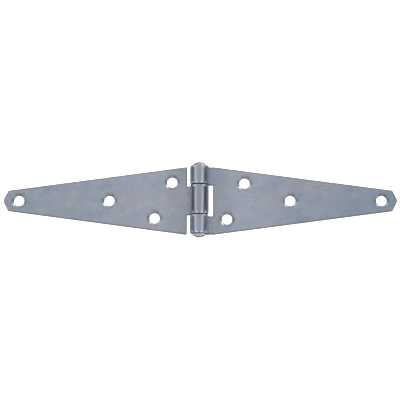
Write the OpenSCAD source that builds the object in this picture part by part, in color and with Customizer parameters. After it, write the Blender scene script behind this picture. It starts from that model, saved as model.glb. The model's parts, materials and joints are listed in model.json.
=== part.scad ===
// Light strap hinge in zinc-plated steel, lying open and flat.
// Two tapered straps are each rolled into knuckles, which turn on one riveted pin.
// The backs of both leaves lie on Z = 0, the pin runs along Y and the knuckles stand up towards +Z.
// The origin is on the back plane, under the middle of the pin.

/* [Leaves] */
// Reach of each leaf, from the pin axis to its tip
leaf_reach = 101.6; // [90:0.1:130]
// Width of each leaf at its wide end
leaf_width = 35.2; // [33:0.1:40]
// Thickness of the steel sheet
sheet_t = 1.9; // [1.5:0.1:2.2]
// Distance from the pin axis to where the taper starts
taper_start = 7.5; // [7.1:0.1:12]
// Width across the two corners of the tip
tip_width = 10.8; // [10:0.1:14]
// How far the blunt point of the tip reaches past those corners
tip_bulge = 2.4; // [2:0.1:3.5]
// Radius of the nose of that point
nose_r = 3; // [1:0.5:4]
// Distance from the pin axis to the wide end of the left leaf
left_root = 6.45; // [6:0.05:7]
// Distance from the pin axis to the end of the slot in the right leaf
right_root = 6.9; // [6:0.05:7]

/* [Knuckles] */
// Outside diameter of the rolled knuckles
barrel_d = 9.7; // [9.4:0.1:11]
// Length of the middle knuckle, which belongs to the left leaf
middle_knuckle = 15.1; // [12:0.1:18]
// Gap between neighbouring knuckles
knuckle_gap = 0.45; // [0.2:0.05:0.6]
// Rounding of the outer edges of each knuckle
knuckle_round = 0.6; // [0.3:0.1:0.7]
// Gap between the end of the curl and the face of its leaf
seam_gap = 0.4; // [0.2:0.1:0.8]

/* [Screw holes] */
// Diameter of the screw holes
hole_d = 5.2; // [4:0.1:5.8]
// Diameter of the countersinks at the front face
sink_d = 7.7; // [6:0.1:8]
// Depth of the countersinks
sink_depth = 1.0; // [0.5:0.1:1.2]
// Distance of the near hole from the pin axis
near_hole = 14.2; // [12:0.1:16]
// Sideways distance of the near hole from the middle line
near_offset = 9.6; // [8:0.1:10]
// Distance of the far hole from the pin axis
far_hole = 23.2; // [20:0.1:28]
// Sideways distance of the far hole from the middle line, on the other side
far_offset = 9.1; // [8:0.1:10]
// Distance of the middle hole from the pin axis
middle_hole = 46.7; // [40:0.1:55]
// Distance of the tip hole from the tip
tip_hole_inset = 8.0; // [7:0.1:12]

/* [Pin] */
// Radial running clearance between the pin and the knuckles
pin_clearance = 0.05; // [0.02:0.01:0.1]
// Diameter of the riveted heads
head_d = 7.2; // [6.4:0.1:8]
// Height of the riveted heads
head_h = 2.0; // [1.8:0.1:2.6]
// Rounding of the rim of the heads
head_rim = 1.2; // [0.8:0.1:1.4]

/* [Hidden] */
barrel_r = barrel_d / 2;
bore_r = barrel_r - sheet_t;
pin_r = bore_r - pin_clearance;
slot_width = middle_knuckle + 2 * knuckle_gap;
outer_knuckle = (leaf_width - slot_width) / 2;
outer_knuckle_y = (slot_width + outer_knuckle) / 2;
curl_angle = 270 + asin((barrel_r - sheet_t - seam_gap) / barrel_r);
// The crown and the rim of a head touch without an edge between them
rim_x = head_d / 2 - head_rim;
crown_r = (pow(rim_x, 2) + pow(head_h, 2) - pow(head_rim, 2)) / (2 * (head_h - head_rim));
touch_x = rim_x * crown_r / (crown_r - head_rim);
zinc = [0.60, 0.63, 0.68];
steel = [0.66, 0.64, 0.62];
$fn = 64;

// Outline of a leaf whose tip points along +X, starting at root from the pin axis
module outline(root) {
    corner_x = leaf_reach - tip_bulge;
    half = tip_width / 2;
    nose_x = leaf_reach - nose_r;
    // The straight sides of the point touch the nose's circle where its radius leans by this angle
    lean = atan2(half, corner_x - nose_x) - acos(nose_r / norm([corner_x - nose_x, half]));
    touch = [nose_x + nose_r * cos(lean), nose_r * sin(lean)];
    translate([nose_x, 0]) circle(nose_r);
    polygon([
        [root, -leaf_width / 2],
        [taper_start, -leaf_width / 2],
        [corner_x, -half],
        [touch.x, -touch.y],
        touch,
        [corner_x, half],
        [taper_start, leaf_width / 2],
        [root, leaf_width / 2]
    ]);
}

// Places children at the four screw holes: two staggered, two on the middle line
module at_holes() {
    translate([near_hole, -near_offset, 0]) children();
    translate([far_hole, far_offset, 0]) children();
    translate([middle_hole, 0, 0]) children();
    translate([leaf_reach - tip_hole_inset, 0, 0]) children();
}

// One screw hole, countersunk from the front face
module screw_hole() {
    past = 1;
    sink_slope = (sink_d - hole_d) / sink_depth;
    translate([0, 0, -past]) cylinder(h = sheet_t + 2 * past, d = hole_d);
    translate([0, 0, sheet_t - sink_depth])
        cylinder(h = sink_depth + past, d1 = hole_d, d2 = sink_d + sink_slope * past);
}

// Flat plate of a leaf whose tip points along +X
module plate(root) {
    difference() {
        linear_extrude(sheet_t) outline(root);
        at_holes() screw_hole();
    }
}

// Section across a knuckle's sheet: X runs out from the pin axis, Y along it
module knuckle_section(length) {
    flat = length / 2 - knuckle_round;
    translate([bore_r, -length / 2]) square([sheet_t - knuckle_round, length]);
    translate([bore_r, -flat]) square([sheet_t, 2 * flat]);
    for (y = [-flat, flat]) translate([barrel_r - knuckle_round, y]) circle(knuckle_round);
}

// One knuckle, and the strip that joins it to a plate on its +X side that starts at root
module knuckle(length, root) {
    overlap = 0.5;
    translate([0, 0, barrel_r]) {
        rotate([-90, 0, 0]) rotate_extrude(angle = curl_angle, start = 90) knuckle_section(length);
        rotate([0, 90, 0]) linear_extrude(root + overlap) knuckle_section(length);
    }
}

module left_leaf() {
    color(zinc) rotate([0, 0, 180]) {
        plate(left_root);
        knuckle(middle_knuckle, left_root);
    }
}

module right_leaf() {
    color(zinc) {
        plate(right_root);
        for (y = [-outer_knuckle_y, outer_knuckle_y]) translate([0, y, 0])
            knuckle(outer_knuckle, right_root);
    }
}

// Half section of a head, standing on Y = 0: a flat crown that runs into a rounded rim
module head_section() {
    intersection() {
        union() {
            intersection() {
                translate([0, head_h - crown_r]) circle(crown_r);
                square([touch_x, head_h]);
            }
            translate([rim_x, 0]) circle(head_rim);
        }
        square([head_d, head_h]);
    }
}

// Half section of the pin: X runs out from its axis, Y along it
module pin_section() {
    end_y = leaf_width / 2;
    translate([0, -end_y]) square([pin_r, leaf_width]);
    for (flip = [0, 1]) mirror([0, flip]) translate([0, end_y]) head_section();
}

module hinge_pin() {
    color(steel) translate([0, 0, barrel_r]) rotate([90, 0, 0]) rotate_extrude() pin_section();
}

left_leaf();
right_leaf();
hinge_pin();
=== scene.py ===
"""Light strap hinge in zinc-plated steel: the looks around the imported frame.

Each leaf is rebuilt as the formed sheet that it is: a flat blank with rounded edges and countersunk
holes, whose tongues curl round the pin. The pin is turned, with hammered heads.
"""

import json
import math

import bpy
import numpy as np
from mathutils import Matrix, Vector, noise
from mathutils.geometry import delaunay_2d_cdt


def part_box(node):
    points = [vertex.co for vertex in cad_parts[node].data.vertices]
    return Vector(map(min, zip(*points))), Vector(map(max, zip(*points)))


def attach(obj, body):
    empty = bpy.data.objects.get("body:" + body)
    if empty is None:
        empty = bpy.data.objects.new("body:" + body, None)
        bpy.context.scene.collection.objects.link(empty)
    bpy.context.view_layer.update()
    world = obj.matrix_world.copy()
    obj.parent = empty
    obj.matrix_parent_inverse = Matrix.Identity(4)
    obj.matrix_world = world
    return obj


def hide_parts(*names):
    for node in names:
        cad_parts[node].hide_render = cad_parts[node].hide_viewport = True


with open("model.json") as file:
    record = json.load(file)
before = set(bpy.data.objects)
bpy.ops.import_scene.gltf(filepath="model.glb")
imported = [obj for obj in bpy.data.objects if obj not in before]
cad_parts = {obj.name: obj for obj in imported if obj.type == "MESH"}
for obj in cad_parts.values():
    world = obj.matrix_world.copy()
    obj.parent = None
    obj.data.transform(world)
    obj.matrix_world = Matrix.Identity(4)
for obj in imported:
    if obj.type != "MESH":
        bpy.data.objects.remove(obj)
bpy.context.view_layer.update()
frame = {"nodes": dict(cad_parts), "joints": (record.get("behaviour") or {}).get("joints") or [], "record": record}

MM = 0.001

# ---------------------------------------------------------------- sizes, in millimetres
# Read from the frame
joint = frame["joints"][0]
mounts = {m["name"]: m for m in frame["record"]["mounts"]}


def node_points(node):
    """The vertices of a CAD node at rest, as rows of x, y, z in millimetres."""
    return np.array([v.co for v in frame["nodes"][node].data.vertices]) / MM


left_points, right_points = node_points("left_leaf"), node_points("right_leaf")
AXIS_Z = joint["pos_m"][2] / MM
BARREL_R = AXIS_Z
REACH = -left_points[:, 0].min()
HALF_WIDTH = left_points[:, 1].max()
SHEET_T = right_points[right_points[:, 0] > REACH / 2][:, 2].max()
TONGUE_HALF = abs(left_points[left_points[:, 0] > 1][:, 1]).max()
SLOT_HALF = abs(right_points[right_points[:, 0] < -1][:, 1]).min()
HEAD_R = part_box("hinge_pin")[1][0] / MM
PIN_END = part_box("hinge_pin")[1][1] / MM
HOLE_R = mounts["right_line_screws"]["dims"]["hole_r_mm"]

# The same as in the CAD
LEFT_ROOT = 6.45
RIGHT_ROOT = 6.9
TAPER_START = 7.5
TIP_HALF = 5.4
TIP_BULGE = 2.4
NOSE_R = 3.0
SEAM_GAP = 0.4
SINK_R = 3.85
SINK_DEPTH = 1.0
STAGGER = 9.0
PIN_CLEARANCE = 0.05
HEAD_RIM = 1.2

# Roundings of the edges
EDGE_FRONT = 0.35
EDGE_BACK = 0.20
KNUCKLE_INNER = 0.25
KNUCKLE_OUTER = 0.42
ROOT_CORNER = 0.3
OUTER_CORNER = 0.4
TIP_CORNER = 0.3
TAPER_CORNER = 5.0
SINK_ROUND = 0.40
HOLE_ROUND = 0.12

# The rolling: where the sheet is still flat and where fully rolled, by its distance from the pin's axis
ROLL_START = 6.0
ROLL_FULL = 0.5
# How the rolling draws in the knuckles' outer edges, and how far from the sheared end it starts and is full
DRAW_WIDTH = 1.5
DRAW_DEPTH = 0.12
DRAW_START = 0.6
DRAW_FULL = 3.0

# Fineness of the meshes. Rungs are rows of vertices across a tongue, so that it bends smoothly, and
# the seat ring goes round the pin's shaft, that far behind a head's seat
RUNGS = 64
RUNG_SPAN = 2.5
FLAT_STEP = 2.0
GRID_STEP = 3.0
ARC_STEP = 0.45
EDGE_STEPS = 5
DRAW_STEPS = 5
HOLE_SIDES = 96
PIN_SIDES = 128
HEAD_STEPS = 12
SEAT_RING = 0.3

# Dulling by wear, and painted shade, on the cut edges, the knuckles' ends and the countersinks: how far it fades
# over the faces, and its strengths
WEAR_AND_SHADE_WIDTH = 0.6
EDGE_WEAR_AND_SHADE = 0.85
KNUCKLE_WEAR_AND_SHADE = 1.6
SINK_WEAR_AND_SHADE = 0.5

# The hammered heads: how far beyond the seat the dents start and are full, how far behind it the
# point is that they are pressed towards, and their depths and fineness
DENT_START = 0.15
DENT_FULL = 0.6
DENT_CENTRE = 1.0
DENT_DEPTH = 0.09
DENT_FINENESS = 0.75
NICK_DEPTH = 0.03
NICK_FINENESS = 2.3

NEUTRAL_R = BARREL_R - SHEET_T / 2
CURL_ANGLE = 1.5 * math.pi + math.asin((BARREL_R - SHEET_T - SEAM_GAP) / BARREL_R)
CURL_LENGTH = NEUTRAL_R * CURL_ANGLE
RUNG_STEP = CURL_LENGTH / RUNGS
# The last rungs are left out: they would run through the rounded edge of the curl's end
LAST_RUNGS = 3
RUNG_U = [-k * RUNG_STEP for k in range(RUNGS - LAST_RUNGS)]


# ---------------------------------------------------------------- paths and profiles
def mix(a, b, share):
    return a + (b - a) * share


def smoothstep(x, low, high):
    t = min(1.0, max(0.0, (x - low) / (high - low)))
    return t * t * (3 - 2 * t)


def right_normal(direction):
    return Vector((direction.y, -direction.x)).normalized()


def fillet(before, corner, after, radius):
    """Points round one corner of a path, on an arc tangent to both its sides.

    Each comes with its right-hand normal, and with the room that there is behind it on the left.
    """
    d_in = (corner - before).normalized()
    d_out = (after - corner).normalized()
    turn = math.atan2(d_in.x * d_out.y - d_in.y * d_out.x, d_in.dot(d_out))
    side = math.copysign(1.0, turn)
    start = corner - d_in * radius * abs(math.tan(turn / 2))
    normal = right_normal(d_in)
    centre = start - normal * radius * side
    steps = max(3, math.ceil(abs(turn) / math.radians(12)), math.ceil(radius * abs(turn) / ARC_STEP))
    room = 0.95 * radius if turn > 0 else math.inf
    out = []
    for k in range(steps + 1):
        spoke = normal.copy()
        spoke.rotate(Matrix.Rotation(turn * k / steps, 2))
        out.append((centre + spoke * radius * side, spoke, room))
    return out


def between(a, b):
    """Points between a and b: one at each rung of the curl, and one every FLAT_STEP or less elsewhere."""
    span = b - a
    count = math.ceil(span.length / FLAT_STEP)
    shares = [k / count for k in range(1, count)]
    if abs(span.x) > abs(span.y):
        low, high = sorted((a.x, b.x))
        shares = [s for s in shares if a.x + s * span.x > RUNG_STEP]
        shares += [(u - a.x) / span.x for u in RUNG_U if low + 0.1 < u < high - 0.1]
    return [(a + span * s, right_normal(span), math.inf) for s in sorted(shares)]


def rounded_path(corners, closed=False, fill=None):
    """Points, right-hand normals and room along a path whose corners are (x, y, radius)."""
    points = [Vector(c[:2]) for c in corners]
    n = len(points)
    inner = range(n) if closed else range(1, n - 1)
    arcs = [fillet(points[i - 1], points[i], points[(i + 1) % n], corners[i][2]) for i in inner]
    out = []
    for i, arc in enumerate(arcs):
        out += arc
        if fill is not None:
            out += fill(arc[-1][0], arcs[(i + 1) % len(arcs)][0][0])
    return out


def tip_corners():
    """The tip of a leaf: two corners, and a blunt point between them that reaches to REACH."""
    corner = REACH - TIP_BULGE
    to_corner = Vector((NOSE_R - TIP_BULGE, TIP_HALF))
    lean = math.atan2(to_corner.y, to_corner.x) - math.acos(NOSE_R / to_corner.length)
    apex = REACH - NOSE_R + NOSE_R / math.cos(lean)
    return [(corner, -TIP_HALF, TIP_CORNER), (apex, 0, NOSE_R), (corner, TIP_HALF, TIP_CORNER)]


def left_outline():
    """Corners of the left leaf's blank, anticlockwise: its tip is towards +u, its tongue in the middle."""
    end = [(TAPER_START, HALF_WIDTH, TAPER_CORNER), (LEFT_ROOT, HALF_WIDTH, OUTER_CORNER)]
    end += [(LEFT_ROOT, TONGUE_HALF, ROOT_CORNER), (-CURL_LENGTH, TONGUE_HALF, OUTER_CORNER)]
    return tip_corners() + end + [(u, -v, radius) for u, v, radius in reversed(end)]


def right_outline():
    """Corners of the right leaf's blank, with a slot between two tongues."""
    end = [(TAPER_START, HALF_WIDTH, TAPER_CORNER), (-CURL_LENGTH, HALF_WIDTH, OUTER_CORNER)]
    end += [(-CURL_LENGTH, SLOT_HALF, OUTER_CORNER), (RIGHT_ROOT, SLOT_HALF, ROOT_CORNER)]
    return tip_corners() + end + [(u, -v, radius) for u, v, radius in reversed(end)]


def rolled_share(u):
    """How far the blank is rolled at u: 0 on the flat, 1 on the tongues."""
    return 1 - smoothstep(u, ROLL_FULL, ROLL_START)


def drawn_share(u):
    """How far the rolling has drawn in the outer edge at u: not on the flat or at the sheared end."""
    return rolled_share(u) * smoothstep(u + CURL_LENGTH, DRAW_START, DRAW_FULL)


def quarter(steps, start=0.0):
    """Sines and cosines round a quarter turn, or round what is left of it after start."""
    angles = [mix(start, math.pi / 2, k / steps) for k in range(steps + 1)]
    return [(math.sin(a), math.cos(a)) for a in angles]


def edge_rows(u):
    """Rows down a cut edge, front to back: inset, height, the normal's outward and upward shares, wear and painted
    shade.

    The front turns inside the curl, and the back turns outside, where it is drawn in over some width.
    """
    rolled, drawn = rolled_share(u), drawn_share(u)
    front, back = mix(EDGE_FRONT, KNUCKLE_INNER, rolled), mix(EDGE_BACK, KNUCKLE_OUTER, drawn)
    rows = [(front + WEAR_AND_SHADE_WIDTH, SHEET_T, 0.0, 1.0, 0.0)]
    # The edge is darkened by wear and painted shade, the knuckles' drawn ends most, where shade falls between the
    # knuckles and at the heads
    wear_and_shade = mix(EDGE_WEAR_AND_SHADE, KNUCKLE_WEAR_AND_SHADE, rolled)
    rows += [(front * (1 - s), SHEET_T - front * (1 - c), s, c, wear_and_shade) for s, c in quarter(EDGE_STEPS)]
    width, depth = mix(WEAR_AND_SHADE_WIDTH, DRAW_WIDTH, drawn), DRAW_DEPTH * drawn
    lean = math.atan2(2 * depth, width)
    base = depth + back * math.cos(lean)
    for s, c in reversed(quarter(EDGE_STEPS, lean)):
        wear_and_shade = mix(EDGE_WEAR_AND_SHADE, KNUCKLE_WEAR_AND_SHADE * smoothstep(s, 0.55, 0.9), rolled)
        rows.append((back * (1 - s), base - back * c, s, -c, wear_and_shade))
    start = rows[-1][0]
    for k in range(DRAW_STEPS - 1, -1, -1):
        share = k / DRAW_STEPS
        slope = 2 * depth * share / width
        tilt = math.hypot(1, slope)
        rows.append((start + width * (1 - share), depth * share**2, slope / tilt, -1 / tilt, 0.0))
    return rows


def hole_rows():
    """Rows down a screw hole, front to back: radius, height, the normal's two shares, wear and painted shade."""
    path = rounded_path([
        (SINK_R + 1, SHEET_T, 0), (SINK_R, SHEET_T, SINK_ROUND),
        (HOLE_R, SHEET_T - SINK_DEPTH, SINK_ROUND), (HOLE_R, 0, HOLE_ROUND), (HOLE_R + 1, 0, 0)])
    rows = [(path[0][0].x + WEAR_AND_SHADE_WIDTH, SHEET_T, 0.0, 1.0, 0.0)]
    # The countersink is darkened by wear and painted shade
    rows += [(p.x, p.y, n.x, n.y, SINK_WEAR_AND_SHADE) for p, n, _ in path]
    rows.append((path[-1][0].x + WEAR_AND_SHADE_WIDTH, 0.0, 0.0, -1.0, 0.0))
    return rows


def hole_centres():
    """Centres of the four screw holes, with the leaf's tip towards +u."""
    stagger = mounts["right_staggered_screws"]
    line = mounts["right_line_screws"]
    mid_u, mid_v = stagger["pos_m"][0] / MM, stagger["pos_m"][1] / MM
    across = math.sqrt(stagger["dims"]["pcd_mm"]**2 - STAGGER**2)
    spacing = line["dims"]["spacing_x_mm"]
    line_u = line["pos_m"][0] / MM
    staggered = [(mid_u - STAGGER / 2, mid_v - across / 2), (mid_u + STAGGER / 2, mid_v + across / 2)]
    return staggered + [(line_u - spacing / 2, 0.0), (line_u + spacing / 2, 0.0)]


# ---------------------------------------------------------------- the formed sheet
class Sheet:
    """A blank as lists of points, normals, wear and painted shade, and faces, all in the flat frame."""

    def __init__(self):
        self.points = []
        self.normals = []
        self.wear_and_shade = []
        self.faces = []

    def add(self, point, normal, wear_and_shade):
        self.points.append(point)
        self.normals.append(normal)
        self.wear_and_shade.append(wear_and_shade)
        return len(self.points) - 1

    def wall(self, loops, outward):
        """Quads between loops of vertices, listed from the front to the back."""
        for upper, lower in zip(loops, loops[1:]):
            for j in range(len(upper)):
                k = (j + 1) % len(upper)
                quad = (upper[j], lower[j], lower[k], upper[k])
                self.faces.append(quad if outward else quad[::-1])

    def edge(self, outline):
        """The wall round the outline. Returns its loops, front to back.

        Rows on the inside of a tight corner keep short of the room there is, so none fall together.
        """
        loops = [[] for _ in edge_rows(0)]
        for p, n, room in outline:
            for loop, (inset, z, out, up, wear_and_shade) in zip(loops, edge_rows(p.x)):
                q = p - n * inset / math.hypot(1, inset / room)
                loop.append(self.add((q.x, q.y, z), (n.x * out, n.y * out, up), wear_and_shade))
        self.wall(loops, outward=True)
        return loops

    def hole(self, centre):
        """The wall down one screw hole. Returns its loops, front to back."""
        loops = []
        for radius, z, out, up, wear_and_shade in hole_rows():
            loop = []
            for j in range(HOLE_SIDES):
                c, s = math.cos(math.tau * j / HOLE_SIDES), math.sin(math.tau * j / HOLE_SIDES)
                point = (centre[0] + radius * c, centre[1] + radius * s, z)
                loop.append(self.add(point, (c * out, s * out, up), wear_and_shade))
            loops.append(loop)
        self.wall(loops, outward=False)
        return loops

    def rungs(self, loop, up):
        """Lines of vertices across each tongue. Returns their edges."""
        edges = []
        z = self.points[loop[0]][2]
        for u in RUNG_U:
            ends = sorted((self.points[i][1], i) for i in loop if abs(self.points[i][0] - u) < 1e-4)
            for (low, first), (high, last) in zip(ends[::2], ends[1::2]):
                count = math.ceil((high - low) / RUNG_SPAN)
                line = [first]
                for k in range(1, count):
                    line.append(self.add((u, mix(low, high, k / count), z), (0, 0, up), 0.0))
                line.append(last)
                edges += zip(line, line[1:])
        return edges

    def grid(self, outline, centres, z, up):
        """Loose vertices over the flat of the leaf, clear of its outline and holes."""
        clear = GRID_STEP / 2
        for i in range(1, int(REACH / GRID_STEP)):
            for j in range(-int(HALF_WIDTH / GRID_STEP), int(HALF_WIDTH / GRID_STEP) + 1):
                point = np.array([i * GRID_STEP, j * GRID_STEP])
                off_holes = min(np.hypot(*(point - c)) for c in centres) > SINK_R + WEAR_AND_SHADE_WIDTH + clear
                off_edge = np.hypot(*(outline - point).T).min() > EDGE_FRONT + WEAR_AND_SHADE_WIDTH + clear
                if off_holes and off_edge and inside(outline, point[None])[0]:
                    self.add((*point, z), (0, 0, up), 0.0)

    def triangulated(self, used, edges):
        """Triangles between the used vertices that keep the given edges, as rows of three vertices."""
        place = {vertex: k for k, vertex in enumerate(used)}
        flat = [Vector(self.points[i][:2]) for i in used]
        flat_edges = [(place[a], place[b]) for a, b in edges]
        result = delaunay_2d_cdt(flat, flat_edges, [], 0, 1e-6, True)
        sources = [used[ids[0]] for ids in result[3]]
        return np.array([[sources[k] for k in face] for face in result[2]])

    def cover(self, outer, holes, centres, up):
        """The front or back face, triangulated between the outer loop and the holes' loops."""
        first = len(self.points)
        edges = self.rungs(outer, up)
        outline = np.array([self.points[i][:2] for i in outer])
        self.grid(outline, centres, self.points[outer[0]][2], up)
        used = []
        for loop in [outer] + holes:
            used += loop
            edges += [(a, loop[(k + 1) % len(loop)]) for k, a in enumerate(loop)]
        used += range(first, len(self.points))
        triangles = self.triangulated(used, edges)
        corners = np.array(self.points)[:, :2][triangles]
        middles = corners.mean(axis=1)
        keep = inside(outline, middles)
        for centre, loop in zip(centres, holes):
            radius = np.hypot(*(np.array(self.points[loop[0]][:2]) - centre))
            keep &= np.hypot(*(middles - centre).T) > radius * math.cos(math.pi / HOLE_SIDES)
        side_a, side_b = corners[:, 1] - corners[:, 0], corners[:, 2] - corners[:, 0]
        turn = side_a[:, 0] * side_b[:, 1] - side_a[:, 1] * side_b[:, 0]
        for triangle, good, area in zip(triangles, keep, turn * up):
            if good:
                self.faces.append(tuple(int(i) for i in (triangle if area > 0 else triangle[::-1])))


def inside(outline, points):
    """Which points lie inside a closed outline."""
    a, b = outline, np.roll(outline, -1, axis=0)
    x, y = points[:, :1], points[:, 1:]
    crosses = (a[:, 1] > y) != (b[:, 1] > y)
    rise = np.where(b[:, 1] == a[:, 1], 1.0, b[:, 1] - a[:, 1])
    left = x < a[:, 0] + (y - a[:, 1]) * (b[:, 0] - a[:, 0]) / rise
    return (crosses & left).sum(axis=1) % 2 == 1


def bend(point, normal):
    """Where a point of the blank goes when its tongue is rolled, and the normal there."""
    u, v, z = point
    if u >= 0:
        return Vector(point), Vector(normal).normalized()
    angle = -u / NEUTRAL_R
    s, c = math.sin(angle), math.cos(angle)
    r = BARREL_R - z
    stretch = NEUTRAL_R / r
    along, across, up = normal[0] * stretch, normal[1], normal[2]
    turned = Vector((along * c + up * s, across, up * c - along * s))
    return Vector((-r * s, v, BARREL_R - r * c)), turned.normalized()


def formed_leaf(name, corners, turned):
    """A leaf: its blank with rounded edges and holes, rolled, and turned to the left side if asked."""
    sheet = Sheet()
    outline = rounded_path(corners, closed=True, fill=between)
    centres = [np.array(c) for c in hole_centres()]
    edge_loops = sheet.edge(outline)
    hole_loops = [sheet.hole(c) for c in centres]
    sheet.cover(edge_loops[0], [loops[0] for loops in hole_loops], centres, up=1)
    sheet.cover(edge_loops[-1], [loops[-1] for loops in hole_loops], centres, up=-1)
    bent = [bend(p, n) for p, n in zip(sheet.points, sheet.normals)]
    turn = Matrix.Rotation(math.pi if turned else 0, 3, "Z")
    mesh = bpy.data.meshes.new(name)
    mesh.from_pydata([turn @ p * MM for p, n in bent], [], sheet.faces)
    mesh.validate()
    mesh.shade_smooth()
    mesh.normals_split_custom_set_from_vertices([turn @ n for p, n in bent])
    blank = mesh.attributes.new("blank", "FLOAT_VECTOR", "POINT")
    blank.data.foreach_set("vector", (np.array(sheet.points) * MM).ravel())
    # How far each vertex is darkened by wear and painted shade
    wear_and_shade = mesh.attributes.new("wear_and_shade", "FLOAT", "POINT")
    wear_and_shade.data.foreach_set("value", sheet.wear_and_shade)
    return new_object(name, mesh)


def new_object(name, mesh):
    obj = bpy.data.objects.new(name, mesh)
    bpy.context.scene.collection.objects.link(obj)
    return obj


# ---------------------------------------------------------------- the pin
def pin_profile():
    """Half the pin's profile, from its end to its middle: radius, distance along the pin."""
    shaft_r = BARREL_R - SHEET_T - PIN_CLEARANCE
    seat = HALF_WIDTH
    height = PIN_END - seat
    rim_x = HEAD_R - HEAD_RIM
    crown_r = (rim_x**2 + height**2 - HEAD_RIM**2) / (2 * (height - HEAD_RIM))
    crown_half = math.asin(rim_x / (crown_r - HEAD_RIM))
    profile = []
    for k in range(1, HEAD_STEPS + 1):
        a = crown_half * k / HEAD_STEPS
        profile.append((crown_r * math.sin(a), PIN_END - crown_r * (1 - math.cos(a))))
    for k in range(1, HEAD_STEPS + 1):
        a = mix(crown_half, math.pi / 2, k / HEAD_STEPS)
        profile.append((rim_x + HEAD_RIM * math.sin(a), seat + HEAD_RIM * math.cos(a)))
    return profile + [(shaft_r, y) for y in (seat, seat - SEAT_RING, SLOT_HALF, TONGUE_HALF, 0.0)]


def turned_pin(name):
    """The pin with two hammered heads, turned about the joint's axis."""
    half = pin_profile()
    profile = half + [(r, -y) for r, y in reversed(half[:-1])]
    points = [(0, PIN_END, 0)]
    for r, y in profile:
        for j in range(PIN_SIDES):
            a = math.tau * j / PIN_SIDES
            points.append((r * math.cos(a), y, r * math.sin(a)))
    points.append((0, -PIN_END, 0))
    last = len(points) - 1
    faces = []
    for j in range(PIN_SIDES):
        k = (j + 1) % PIN_SIDES
        faces.append((0, 1 + k, 1 + j))
        faces.append((last, last - PIN_SIDES + j, last - PIN_SIDES + k))
        for ring in range(len(profile) - 1):
            a, b = 1 + ring * PIN_SIDES, 1 + (ring + 1) * PIN_SIDES
            faces.append((a + j, a + k, b + k, b + j))
    placed = [hammered(Vector(p)) * MM + Vector((0, 0, AXIS_Z * MM)) for p in points]
    mesh = bpy.data.meshes.new(name)
    mesh.from_pydata(placed, [], faces)
    mesh.shade_smooth()
    mesh.set_sharp_from_angle(angle=math.radians(50))
    return new_object(name, mesh)


def hammered(p):
    """A point of the pin, pressed in a little where it is on a head, as a hammer leaves it."""
    beyond = abs(p.y) - HALF_WIDTH
    if beyond <= DENT_START:
        return p
    share = smoothstep(beyond, DENT_START, DENT_FULL)
    dent = DENT_DEPTH * (0.5 + 0.5 * noise.noise(p * DENT_FINENESS + Vector((3.1, 0, 1.7))))
    nick = NICK_DEPTH * noise.noise(p * NICK_FINENESS)
    centre = Vector((0, math.copysign(HALF_WIDTH - DENT_CENTRE, p.y), 0))
    return p + (centre - p).normalized() * max(0.0, dent + nick) * share


# ---------------------------------------------------------------- materials
def add_node(tree, kind, inputs=None, **settings):
    """A shader node with its settings, and with inputs set to values or linked to other nodes' outputs."""
    made = tree.nodes.new(kind)
    for key, value in settings.items():
        setattr(made, key, value)
    for key, value in (inputs or {}).items():
        if isinstance(value, bpy.types.NodeSocket):
            tree.links.new(value, made.inputs[key])
        else:
            made.inputs[key].default_value = value
    return made


def math_node(tree, operation, a, b=0.0):
    return add_node(tree, "ShaderNodeMath", {0: a, 1: b}, operation=operation).outputs[0]


def product(tree, first, *others):
    """All the given values, multiplied."""
    for other in others:
        first = math_node(tree, "MULTIPLY", first, other)
    return first


def stretched(tree, source, scale, turn=0.0):
    """Coordinates turned about Z, then multiplied by scale."""
    turned = add_node(tree, "ShaderNodeMapping", {"Vector": source, "Rotation": (0, 0, turn)}).outputs[0]
    return add_node(tree, "ShaderNodeMapping", {"Vector": turned, "Scale": scale}).outputs[0]


def noise_value(tree, source, scale, detail=2.0, roughness=0.5):
    made = add_node(tree, "ShaderNodeTexNoise", {
        "Vector": source, "Scale": scale, "Detail": detail, "Roughness": roughness})
    return made.outputs[0]


def ranged(tree, value, low, high, to_low, to_high, smooth=False):
    """A value's stretch from low to high, mapped to one from to_low to to_high and held beyond its ends."""
    made = add_node(tree, "ShaderNodeMapRange", {
        "Value": value, "From Min": low, "From Max": high, "To Min": to_low, "To Max": to_high})
    made.interpolation_type = "SMOOTHSTEP" if smooth else "LINEAR"
    return made.outputs[0]


def ramp(tree, value, stops):
    """A colour ramp. stops are (place, colour)."""
    made = add_node(tree, "ShaderNodeValToRGB", {"Fac": value})
    elements = made.color_ramp.elements
    while len(elements) < len(stops):
        elements.new(0.5)
    for element, (place, colour) in zip(elements, stops):
        element.position = place
        element.color = (*colour, 1)
    return made.outputs[0]


def mixed(tree, share, a, b, blend="MIX"):
    made = add_node(tree, "ShaderNodeMix", data_type="RGBA", blend_type=blend, clamp_factor=True)
    for socket, value in ((made.inputs[0], share), (made.inputs[6], a), (made.inputs[7], b)):
        if isinstance(value, bpy.types.NodeSocket):
            tree.links.new(value, socket)
        else:
            socket.default_value = value
    return made.outputs[2]


def bumped(tree, height, distance, strength, below=None):
    inputs = {"Height": height, "Distance": distance, "Strength": strength}
    if below is not None:
        inputs["Normal"] = below
    return add_node(tree, "ShaderNodeBump", inputs).outputs[0]


def new_material(name):
    material = bpy.data.materials.new(name)
    material.use_nodes = True
    tree = material.node_tree
    shader = tree.nodes["Principled BSDF"]
    shader.inputs["Metallic"].default_value = 1.0
    return material, tree, shader


def zinc_tint(tree, place):
    """Colour of the plating: bluish, with faint interference patches."""
    patches = noise_value(tree, stretched(tree, place, (0.8, 1.2, 1)), 95, 3, 0.6)
    return ramp(tree, patches, [
        (0.30, (0.535, 0.622, 0.735)), (0.42, (0.580, 0.645, 0.790)), (0.51, (0.610, 0.670, 0.790)),
        (0.60, (0.635, 0.665, 0.785)), (0.70, (0.655, 0.670, 0.745))])


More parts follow.
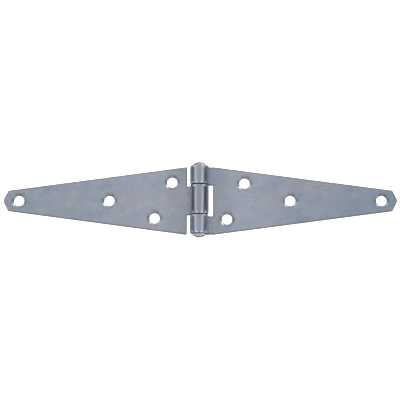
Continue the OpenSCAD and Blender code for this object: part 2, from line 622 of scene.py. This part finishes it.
def zinc_shade(tree, place, along, rolled, streaks, rolled_shade):
    """Lightness of the plating: streaks, clouds, grain and the rolled part's own, with painted shade that darkens
    the root and the tip and lightens the stretch between them.
    """
    streaked = ranged(tree, streaks, 0.3, 0.7, 0.975, 1.025)
    clouds = ranged(tree, noise_value(tree, place, 230, 4, 0.6), 0.3, 0.7, 0.93, 1.06)
    grain = ranged(tree, noise_value(tree, place, 2600, 2, 0.6), 0.3, 0.7, 0.95, 1.05)
    formed = ranged(tree, rolled, 0, 1, FLAT_SHADE, rolled_shade)
    # Painted shade and light along the leaf: darker at the root by the knuckles, lighter beyond it, then darker
    # towards the tip
    root_painted_shade = ranged(tree, along, 0.008, 0.021, 0.91, 1.05, smooth=True)
    tip_painted_shade = ranged(tree, along, 0.021, 0.050, 1, 0.953, smooth=True)
    return product(tree, streaked, clouds, grain, formed, root_painted_shade, tip_painted_shade)


def scratch_lines(tree, place):
    """Fine straight scratches in three directions, 1 on the lines and 0 elsewhere."""
    scratches = None
    for turn, scale in ((0.35, (18, 2100, 1)), (-0.9, (24, 2600, 1)), (1.25, (20, 1900, 1))):
        lines = noise_value(tree, stretched(tree, place, scale, turn), 1, 1, 0.5)
        line = ranged(tree, lines, 0.70, 0.76, 0, 1, smooth=True)
        scratches = line if scratches is None else math_node(tree, "MAXIMUM", scratches, line)
    return scratches


def zinc_relief(tree, place, rolled, streaks, ripple):
    """Normal of the plating: slow waves, ripples drawn along the knuckles, streaks and fine grain."""
    drawn = noise_value(tree, stretched(tree, place, (700, 45, 1)), 1, 2, 0.55)
    normal = bumped(tree, noise_value(tree, place, 85, 1, 0.4), 0.0006, 0.35)
    normal = bumped(tree, product(tree, drawn, rolled), 0.0002, ripple, normal)
    normal = bumped(tree, streaks, 0.00002, 0.2, normal)
    return bumped(tree, noise_value(tree, place, 3200, 2, 0.6), 0.00002, 0.3, normal)


# The plating is satin on the flat, where part of it scatters light, and bright on the rolled knuckles
FLAT_METAL = 0.85
FLAT_SHADE = 0.605
SCRATCH_SHARE = 0.04
SCRATCH_COLOUR = (0.52, 0.54, 0.58, 1)
# The colour towards which wear and painted shade darken the edges, knuckle ends and countersinks
GRIME_AND_SHADE_COLOUR = (0.15, 0.14, 0.13, 1)


def zinc_material(name, offset, painted_tip_shade_colour, rolled_shade, rolled_rough, ripple):
    """Bright zinc plate on rolled sheet, darkened by grime and painted shade on its edges, its knuckles' ends and
    its countersinks.

    Its pattern lies on the flat blank and is moved by offset, so that no two leaves are alike.
    """
    material, tree, shader = new_material(name)
    blank = add_node(tree, "ShaderNodeAttribute", attribute_name="blank").outputs["Vector"]
    place = add_node(tree, "ShaderNodeVectorMath", {0: blank, 1: offset}, operation="ADD").outputs[0]
    wear_and_shade = add_node(tree, "ShaderNodeAttribute", attribute_name="wear_and_shade").outputs["Fac"]
    along = add_node(tree, "ShaderNodeSeparateXYZ", {0: blank}).outputs["X"]
    rolled = ranged(tree, along, 0.003, -0.001, 0, 1)
    streaks = noise_value(tree, stretched(tree, place, (30, 1300, 1)), 1, 3, 0.6)

    shade = zinc_shade(tree, place, along, rolled, streaks, rolled_shade)
    coloured = mixed(tree, 1.0, zinc_tint(tree, place), shade, "MULTIPLY")
    # Painted shade: each leaf darkens and turns bluer towards its tip, where the light falls off
    towards_tip = ranged(tree, along, 0.025, 0.098, 0, 1)
    coloured = mixed(tree, towards_tip, coloured, painted_tip_shade_colour, "MULTIPLY")
    scratched = product(tree, scratch_lines(tree, place), SCRATCH_SHARE)
    coloured = mixed(tree, scratched, coloured, SCRATCH_COLOUR)
    # Grime and painted shade darken the edges, the knuckles' ends and the countersinks, in patches
    grime_and_shade_patches = ranged(tree, noise_value(tree, place, 900, 3, 0.6), 0.38, 0.62, 0.40, 0.75)
    coloured = mixed(tree, product(tree, wear_and_shade, grime_and_shade_patches), coloured, GRIME_AND_SHADE_COLOUR)
    tree.links.new(coloured, shader.inputs["Base Color"])

    rough = ranged(tree, noise_value(tree, place, 140, 3, 0.6), 0.3, 0.7, 0.20, 0.28)
    rough = math_node(tree, "ADD", rough, ranged(tree, streaks, 0.3, 0.7, -0.01, 0.02))
    rough = product(tree, rough, ranged(tree, rolled, 0, 1, 1, rolled_rough))
    tree.links.new(rough, shader.inputs["Roughness"])
    tree.links.new(ranged(tree, rolled, 0, 1, FLAT_METAL, 1), shader.inputs["Metallic"])
    tree.links.new(zinc_relief(tree, place, rolled, streaks, ripple), shader.inputs["Normal"])
    return material


# The pin's colours from its dark spots to its light ones, its upper head's tint, and the painted shade that
# darkens its shaft between the knuckles
PIN_TINTS = [(0.3, (0.67, 0.61, 0.55)), (0.5, (0.80, 0.74, 0.67)), (0.7, (0.87, 0.82, 0.75))]
UPPER_HEAD_TINT = (0.72, 0.77, 0.84, 1)
SHAFT_PAINTED_SHADE = 0.10


def pin_material():
    """Steel, warmer than the leaves and greyer towards the upper head, with painted shade darkening the shaft
    where it shows between the knuckles.
    """
    material, tree, shader = new_material("pin_steel")
    place = add_node(tree, "ShaderNodeTexCoord").outputs["Object"]
    along = add_node(tree, "ShaderNodeSeparateXYZ", {0: place}).outputs["Y"]
    seat = HALF_WIDTH * MM
    mottled = noise_value(tree, place, 500, 4, 0.6)
    speckle = ranged(tree, noise_value(tree, place, 4000, 2, 0.6), 0.3, 0.7, 0.92, 1.08)
    # Painted shade: the shaft, seen only in the gaps between the knuckles, and the heads' seats are darkened
    painted_shaft_shade = ranged(tree, math_node(tree, "ABSOLUTE", along), seat, seat + 0.0005, SHAFT_PAINTED_SHADE, 1)
    shade = product(tree, speckle, painted_shaft_shade)
    coloured = mixed(tree, 1.0, ramp(tree, mottled, PIN_TINTS), shade, "MULTIPLY")
    upper = ranged(tree, along, -seat, seat, 0, 1)
    coloured = mixed(tree, upper, coloured, UPPER_HEAD_TINT, "MULTIPLY")
    tree.links.new(coloured, shader.inputs["Base Color"])
    tree.links.new(ranged(tree, mottled, 0.3, 0.7, 0.20, 0.32), shader.inputs["Roughness"])
    normal = bumped(tree, noise_value(tree, place, 1400, 3, 0.6), 0.00005, 0.4)
    tree.links.new(normal, shader.inputs["Normal"])
    return material


def floor_material():
    """Plain white paper."""
    material, tree, shader = new_material("floor_white")
    shader.inputs["Metallic"].default_value = 0.0
    shader.inputs["Base Color"].default_value = (0.90, 0.90, 0.90, 1)
    shader.inputs["Roughness"].default_value = 1.0
    shader.inputs["Specular IOR Level"].default_value = 0.0
    return material


# ---------------------------------------------------------------- the hinge
def dress(piece, node, body, material):
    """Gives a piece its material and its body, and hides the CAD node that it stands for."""
    piece.data.materials.append(material)
    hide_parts(node)
    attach(piece, body)


def build_hinge():
    # The leaves differ in their painted tip shade, the right leaf's tip darker
    left_zinc = zinc_material(
        "left_zinc", offset=(0.31, 0.17, 0.05), painted_tip_shade_colour=(0.90, 0.94, 0.95, 1),
        rolled_shade=0.97, rolled_rough=0.65, ripple=0.70)
    right_zinc = zinc_material(
        "right_zinc", offset=(1.73, 0.62, 0.4), painted_tip_shade_colour=(0.77, 0.83, 0.86, 1),
        rolled_shade=1.02, rolled_rough=0.90, ripple=0.40)
    left = formed_leaf("left_strap", left_outline(), turned=True)
    dress(left, "left_leaf", "left_side", left_zinc)
    right = formed_leaf("right_strap", right_outline(), turned=False)
    dress(right, "right_leaf", "right_side", right_zinc)
    pin = turned_pin("riveted_pin")
    dress(pin, "hinge_pin", "right_side", pin_material())


# ---------------------------------------------------------------- the studio
# Space under a leaf that hangs straight down, in millimetres, and half the floor's side, in metres
FLOOR_GAP = 4.0
FLOOR_HALF = 8.0


def make_floor():
    """A wide white floor, low enough for a leaf to swing down past the pin."""
    z = (AXIS_Z - REACH - FLOOR_GAP) * MM
    corners = [(-FLOOR_HALF, -FLOOR_HALF), (FLOOR_HALF, -FLOOR_HALF),
               (FLOOR_HALF, FLOOR_HALF), (-FLOOR_HALF, FLOOR_HALF)]
    mesh = bpy.data.meshes.new("floor")
    mesh.from_pydata([(x, y, z) for x, y in corners], [], [(0, 1, 2, 3)])
    floor = new_object("floor", mesh)
    mesh.materials.append(floor_material())
    floor.visible_glossy = False


def make_overhead_light():
    """A broad light straight above, for the floor and the satin metal. No metal mirrors it."""
    light = bpy.data.lights.new("overhead", "AREA")
    light.shape = "DISK"
    light.size = 3.0
    light.energy = 100.0
    obj = bpy.data.objects.new("overhead", light)
    obj.location = (0, 0, 2.2)
    obj.visible_glossy = False
    obj.visible_camera = False
    bpy.context.scene.collection.objects.link(obj)


# What the metal mirrors above it, from left (-X) to right (+X): place on the ramp, brightness
SOFTBOXES = [
    (0.000, 0.04), (0.015, 0.07), (0.045, 0.25), (0.090, 0.64), (0.140, 0.83), (0.200, 0.66),
    (0.280, 0.50), (0.420, 0.46), (0.500, 0.50), (0.540, 0.49), (0.600, 0.45), (0.680, 0.50),
    (0.760, 0.66), (0.820, 0.86), (0.870, 0.70), (0.915, 0.36), (0.955, 0.12), (1.000, 0.03)]

# Round panels besides: direction, cosines between which they fade in, brightness (a flag's is negative)
PANELS = [
    ((0.50, -0.30, 0.81), 0.965, 0.995, 1.60),
    ((-0.48, -0.30, 0.82), 0.965, 0.995, 1.50),
    ((0.91, -0.38, 0.10), 0.950, 0.990, 0.80),
    ((-0.91, -0.38, 0.10), 0.955, 0.992, 0.50),
    ((0.84, 0.50, 0.20), 0.955, 0.990, 0.65),
    ((-0.84, 0.50, 0.20), 0.955, 0.990, 0.60),
    ((-0.60, 0.74, 0.27), 0.930, 0.985, 1.00),
    ((0.61, 0.77, 0.13), 0.965, 0.990, 4.20),
    ((0.00, 0.93, 0.30), 0.880, 0.980, 0.70),
    ((0.00, -0.96, 0.28), 0.930, 0.985, 0.15),
    ((0.70, -0.69, 0.17), 0.930, 0.985, 0.15),
    ((-0.68, -0.70, 0.22), 0.930, 0.985, -0.32),
    ((1.00, -0.08, 0.08), 0.970, 0.995, 0.50),
    ((-1.00, -0.08, 0.08), 0.970, 0.995, 0.50)]

DARKEST = (0.04, 0.04, 0.04, 1)


def softboxes(tree, x):
    """Brightness of the softboxes overhead, by how far to the side they are."""
    across = ranged(tree, x, -1, 1, 0, 1)
    return ramp(tree, across, [(place, (level,) * 3) for place, level in SOFTBOXES])


def ground_level(tree, y, z):
    """Brightness below the horizon: a dim ground, a lighter wall behind, and a white card in front."""
    ground = product(
        tree, ranged(tree, z, -0.5, 0.0, 0.36, 0.06), ranged(tree, z, -0.90, -0.65, 0.25, 1),
        ranged(tree, y, 0.1, 0.6, 1, 0.5), ranged(tree, y, 0.0, 0.1, 2, 1),
        ranged(tree, y, -0.5, -0.1, 0.35, 1))
    wall = product(
        tree, ranged(tree, y, 0.1, 0.7, 0, 0.42, smooth=True),
        ranged(tree, z, -0.30, -0.06, 0.03, 1, smooth=True))
    card_top = ranged(tree, z, 0.10, -0.05, 0, 1, smooth=True)
    card_foot = ranged(tree, z, -0.45, -0.32, 0, 1, smooth=True)
    card = product(
        tree, ranged(tree, y, -0.25, -0.55, 0, 0.87, smooth=True),
        math_node(tree, "MINIMUM", card_top, card_foot))
    return math_node(tree, "ADD", ground, math_node(tree, "ADD", wall, card))


def above_share(tree, x, y, z):
    """0 below the horizon and 1 above it. In front the horizon is raised, most of all at the sides."""
    front = ranged(tree, y, -0.80, -0.45, 1, 0, smooth=True)
    sides = ranged(tree, math_node(tree, "ABSOLUTE", x), 0.20, 0.45, 0.16, 0.19, smooth=True)
    raised = math_node(tree, "SUBTRACT", z, product(tree, front, sides))
    return ranged(tree, raised, -0.05, 0.30, 0, 1, smooth=True)


def panel(tree, direction, towards, low, high, brightness):
    """Brightness that a soft round panel adds in each direction."""
    unit = Vector(towards).normalized()
    facing = add_node(tree, "ShaderNodeVectorMath", {0: direction, 1: unit}, operation="DOT_PRODUCT")
    return ranged(tree, facing.outputs["Value"], low, high, 0, brightness, smooth=True)


def mirrored_level(tree):
    """What the metal mirrors in each direction."""
    direction = add_node(tree, "ShaderNodeTexCoord").outputs["Generated"]
    split = add_node(tree, "ShaderNodeSeparateXYZ", {0: direction})
    x, y, z = (split.outputs[axis] for axis in "XYZ")
    level = mixed(tree, above_share(tree, x, y, z), ground_level(tree, y, z), softboxes(tree, x))
    for towards, low, high, brightness in PANELS:
        level = mixed(tree, 1.0, level, panel(tree, direction, towards, low, high, brightness), "ADD")
    return mixed(tree, 1.0, level, DARKEST, "LIGHTEN")


def make_world():
    """White to the eye. The metal mirrors softboxes, panels and a dim ground instead."""
    world = bpy.data.worlds.new("studio")
    world.use_nodes = True
    tree = world.node_tree
    tree.nodes.clear()
    mirrored = add_node(tree, "ShaderNodeBackground", {"Color": mirrored_level(tree)}).outputs[0]
    plain = add_node(tree, "ShaderNodeBackground", {"Color": (1, 1, 1, 1), "Strength": 1.1}).outputs[0]
    glossy = add_node(tree, "ShaderNodeLightPath").outputs["Is Glossy Ray"]
    either = add_node(tree, "ShaderNodeMixShader", {0: glossy, 1: plain, 2: mirrored}).outputs[0]
    add_node(tree, "ShaderNodeOutputWorld", {"Surface": either})
    bpy.context.scene.world = world


# The camera stands over the leaves, a little towards their lower edge and to the right
CAMERA_DISTANCE = 0.70
CAMERA_TILT = math.radians(9.2)
CAMERA_SIDE = math.radians(1.7)
VIEW_WIDTH = 0.20656
AIM = Vector((0.00022, 0.00048, 0.001))


def make_camera():
    camera = bpy.data.cameras.new("camera")
    camera.sensor_width = 36
    camera.lens = camera.sensor_width * CAMERA_DISTANCE / VIEW_WIDTH
    camera.clip_start = 0.01
    camera.clip_end = 100
    back = Vector((math.tan(CAMERA_SIDE), -math.tan(CAMERA_TILT), 1)).normalized()
    up = back.cross(Vector((1, 0, 0))).normalized()
    right = up.cross(back)
    obj = bpy.data.objects.new("camera", camera)
    axes = Matrix((right, up, back)).transposed().to_4x4()
    obj.matrix_world = Matrix.Translation(AIM + back * CAMERA_DISTANCE) @ axes
    bpy.context.scene.collection.objects.link(obj)
    bpy.context.scene.camera = obj


make_camera()
build_hinge()
make_floor()
make_overhead_light()
make_world()
bpy.context.scene.view_settings.view_transform = "Standard"
